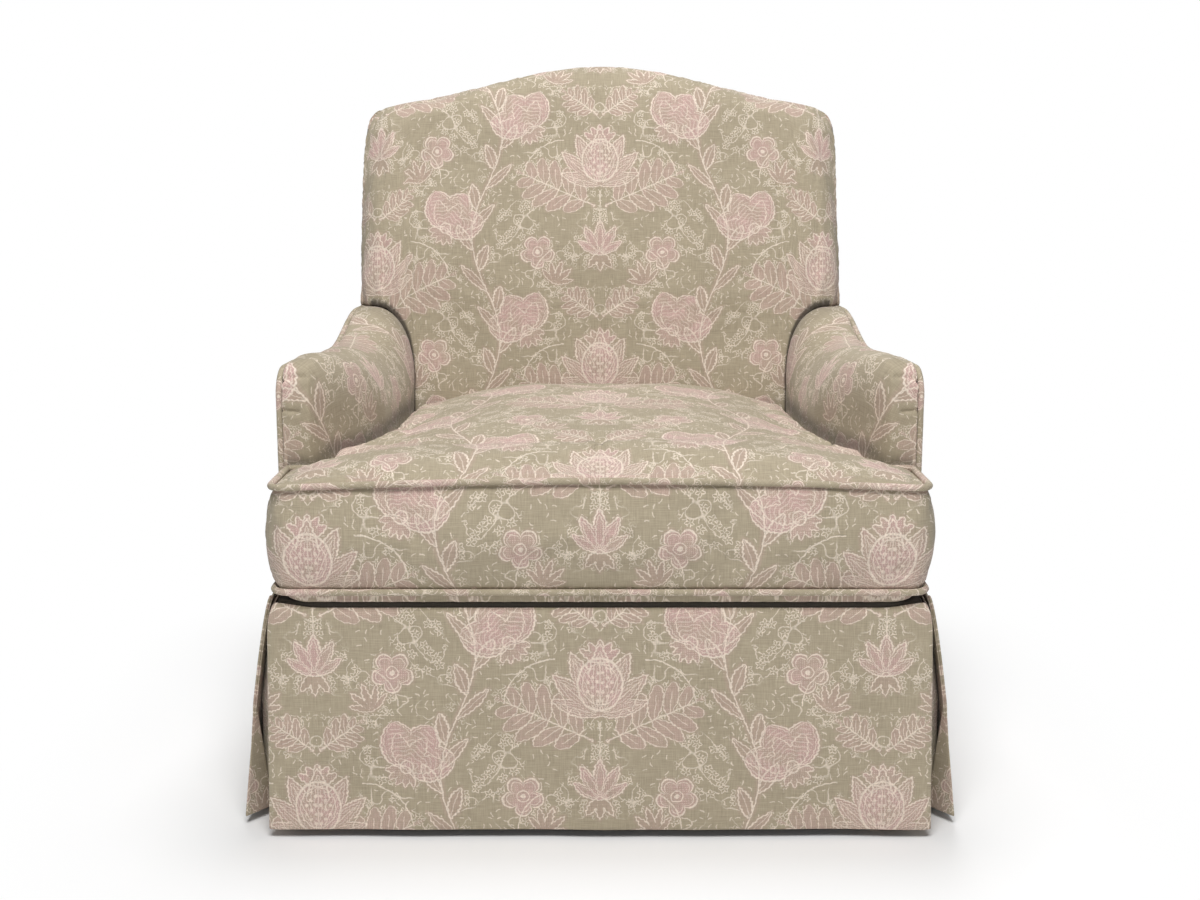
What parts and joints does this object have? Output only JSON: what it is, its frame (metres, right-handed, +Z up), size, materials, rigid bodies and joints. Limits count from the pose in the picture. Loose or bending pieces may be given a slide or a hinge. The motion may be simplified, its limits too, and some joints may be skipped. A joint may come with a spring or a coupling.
{
  "type": "skirted armchair",
  "caption": "Low armchair with a camel-topped padded back, set-back padded arms, a loose T-shaped seat cushion and a floor-length skirt with corner kick pleats.",
  "frame": {"origin": "on the floor, in the middle of the chair's outline", "axes": "+Z up, the chair faces -Y, +X to the right as seen from the front"},
  "size_m": [0.852, 0.8086, 0.915],
  "materials": {
    "print_fabric": "matte linen weave with an overall print",
    "deck_cloth": "plain matte weave",
    "foam": "matte foam",
    "hardwood": "sanded, unfinished",
    "spring_steel": "drawn wire",
    "webbing": "jute weave",
    "dust_cloth": "matte non-woven",
    "glide_plastic": "moulded",
    "zip_tape": "moulded coil on tape"
  },
  "bodies": {
    "frame": {"front_seat_rail": "hardwood", "rear_seat_rail": "hardwood", "left_seat_rail": "hardwood", "right_seat_rail": "hardwood", "front_left_corner_block": "hardwood", "front_right_corner_block": "hardwood", "rear_left_corner_block": "hardwood", "rear_right_corner_block": "hardwood", "front_left_foot": "hardwood", "front_right_foot": "hardwood", "rear_left_foot": "hardwood", "rear_right_foot": "hardwood", "front_left_glide": "glide_plastic", "front_right_glide": "glide_plastic", "rear_left_glide": "glide_plastic", "rear_right_glide": "glide_plastic", "left_arm_stump": "hardwood", "right_arm_stump": "hardwood", "left_arm_board": "hardwood", "right_arm_board": "hardwood", "left_back_post": "hardwood", "right_back_post": "hardwood", "back_top_rail": "hardwood", "back_tack_rail": "hardwood", "back_web_1": "webbing", "back_web_2": "webbing", "back_web_3": "webbing", "dust_cover": "dust_cloth", "seat_deck": "deck_cloth", "seat_spring_1": "spring_steel", "seat_spring_2": "spring_steel", "seat_spring_3": "spring_steel", "seat_spring_4": "spring_steel", "seat_spring_5": "spring_steel", "left_arm_pad": "foam", "right_arm_pad": "foam", "left_arm_cover": "print_fabric", "right_arm_cover": "print_fabric", "left_outside_arm_panel": "print_fabric", "right_outside_arm_panel": "print_fabric", "left_arm_welt": "print_fabric", "right_arm_welt": "print_fabric", "back_pad": "foam", "back_cover": "print_fabric", "outside_back_panel": "print_fabric", "back_welt": "print_fabric", "front_skirt_panel": "print_fabric", "rear_skirt_panel": "print_fabric", "left_skirt_panel": "print_fabric", "right_skirt_panel": "print_fabric", "front_left_pleat_insert": "print_fabric", "front_right_pleat_insert": "print_fabric", "rear_left_pleat_insert": "print_fabric", "rear_right_pleat_insert": "print_fabric"},
    "cushion": {"cushion_core": "foam", "cushion_cover": "print_fabric", "cushion_upper_welt": "print_fabric", "cushion_lower_welt": "print_fabric", "cushion_zip": "zip_tape"}
  },
  "joints": [
    {"name": "seat_cushion_lift", "type": "slide", "parent": "frame", "child": "cushion", "axis": [0, 0, 1], "range_m": [0, 0.15]}
  ]
}
